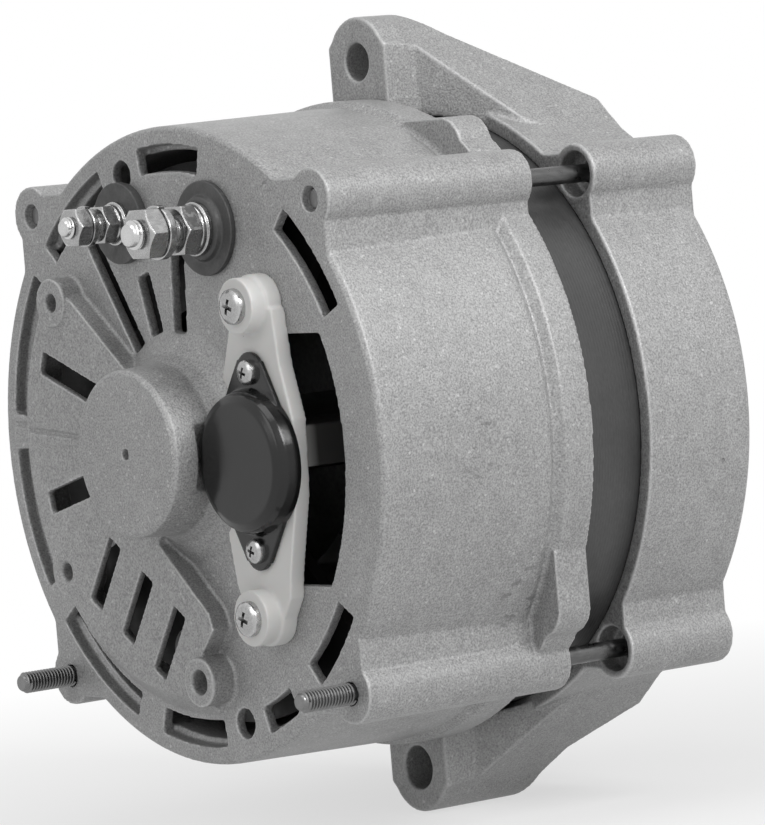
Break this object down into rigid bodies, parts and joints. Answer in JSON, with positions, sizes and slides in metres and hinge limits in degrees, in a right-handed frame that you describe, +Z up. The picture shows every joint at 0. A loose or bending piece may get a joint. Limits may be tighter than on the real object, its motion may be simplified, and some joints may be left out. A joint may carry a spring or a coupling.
{
  "type": "vehicle alternator",
  "caption": "Heavy-duty alternator: slotted cast housings joined by through bolts, swept-back mounting ears, stud terminals, brush holder with round regulator, claw-pole rotor, no pulley.",
  "frame": {"origin": "shaft axis in the plane of the shoulder the pulley seats on", "axes": "+Y along the shaft toward the drive end, +Z up, +X to the right seen from the rear face"},
  "size_m": [0.1802, 0.2104, 0.2239],
  "materials": {
    "cast_aluminium": "sand-cast, unpainted, fine sparkling grain",
    "black_lamination": "laminated steel under dark paint",
    "copper_winding": "varnished copper",
    "zinc_steel": "bright zinc plate",
    "plain_steel": "oiled plain steel",
    "bearing_steel": "ground",
    "brass_cage": "stamped",
    "forged_iron": "dull forged iron",
    "black_fan_paint": "black paint on pressed steel",
    "heat_plate": "rolled aluminium, blackened",
    "diode_can": "tinned",
    "slip_ring_copper": "turned copper",
    "dark_insulator": "moulded, dark grey",
    "white_plastic": "moulded off-white",
    "gloss_black": "glossy black lacquered can",
    "board": "moulded diode carrier",
    "carbon": "carbon brush",
    "spring_steel": "spring wire"
  },
  "bodies": {
    "housing": {"rear_housing": "cast_aluminium", "drive_housing": "cast_aluminium", "stator_core": "black_lamination", "stator_winding": "copper_winding", "bolt_top_left": "plain_steel", "bolt_top_right": "plain_steel", "bolt_bottom_left": "plain_steel", "bolt_bottom_right": "plain_steel", "front_bearing_outer": "bearing_steel", "bearing_retainer": "plain_steel", "retainer_screws": "zinc_steel", "rear_bearing_outer": "bearing_steel", "negative_plate": "heat_plate", "positive_plate": "heat_plate", "negative_diodes": "diode_can", "positive_diodes": "diode_can", "plate_insulators": "white_plastic", "plate_screws": "zinc_steel", "exciter_board": "board", "bplus_insulator": "dark_insulator", "bplus_stud": "zinc_steel", "bplus_inner_nut": "zinc_steel", "bplus_lock_washer": "zinc_steel", "bplus_outer_nut": "zinc_steel", "signal_insulator": "dark_insulator", "signal_stud": "zinc_steel", "signal_inner_nut": "zinc_steel", "signal_lock_washer": "zinc_steel", "signal_outer_nut": "zinc_steel", "brush_holder": "white_plastic", "holder_screws": "zinc_steel", "regulator": "gloss_black", "regulator_screws": "zinc_steel", "spring_rear": "spring_steel", "spring_front": "spring_steel"},
    "rotor": {"rotor_shaft": "plain_steel", "rotor_core": "forged_iron", "claw_front": "forged_iron", "claw_rear": "forged_iron", "field_bobbin": "dark_insulator", "field_winding": "copper_winding", "slip_ring_sleeve": "dark_insulator", "slip_rings": "slip_ring_copper", "fan": "black_fan_paint", "fan_spacer": "plain_steel", "pulley_key": "plain_steel", "shaft_washer": "zinc_steel", "shaft_nut": "zinc_steel", "front_bearing_inner": "bearing_steel", "rear_bearing_inner": "bearing_steel"},
    "front_cage": {"front_bearing_cage": "brass_cage", "front_bearing_balls": "bearing_steel"},
    "rear_cage": {"rear_bearing_cage": "brass_cage", "rear_bearing_balls": "bearing_steel"},
    "rear_brush": {"brush_rear": "carbon"},
    "front_brush": {"brush_front": "carbon"}
  },
  "joints": [
    {"name": "rotor_spin", "type": "hinge", "parent": "housing", "child": "rotor", "pos_m": [0, 0, 0], "axis": [0, 1, 0], "continuous": true},
    {"name": "front_cage_spin", "type": "hinge", "parent": "housing", "child": "front_cage", "pos_m": [0, 0, 0], "axis": [0, 1, 0], "continuous": true},
    {"name": "rear_cage_spin", "type": "hinge", "parent": "housing", "child": "rear_cage", "pos_m": [0, 0, 0], "axis": [0, 1, 0], "continuous": true},
    {"name": "rear_brush_slide", "type": "slide", "parent": "housing", "child": "rear_brush", "axis": [1, 0, 0], "range_m": [0, 0.006], "stiffness_N_per_m": 300, "springref_m": -0.01, "deforming": ["spring_rear"]},
    {"name": "front_brush_slide", "type": "slide", "parent": "housing", "child": "front_brush", "axis": [1, 0, 0], "range_m": [0, 0.006], "stiffness_N_per_m": 300, "springref_m": -0.01, "deforming": ["spring_front"]}
  ],
  "couplings": [
    {"joint": "front_cage_spin", "follows": "rotor_spin", "ratio": 0.3641},
    {"joint": "rear_cage_spin", "follows": "rotor_spin", "ratio": 0.38}
  ]
}
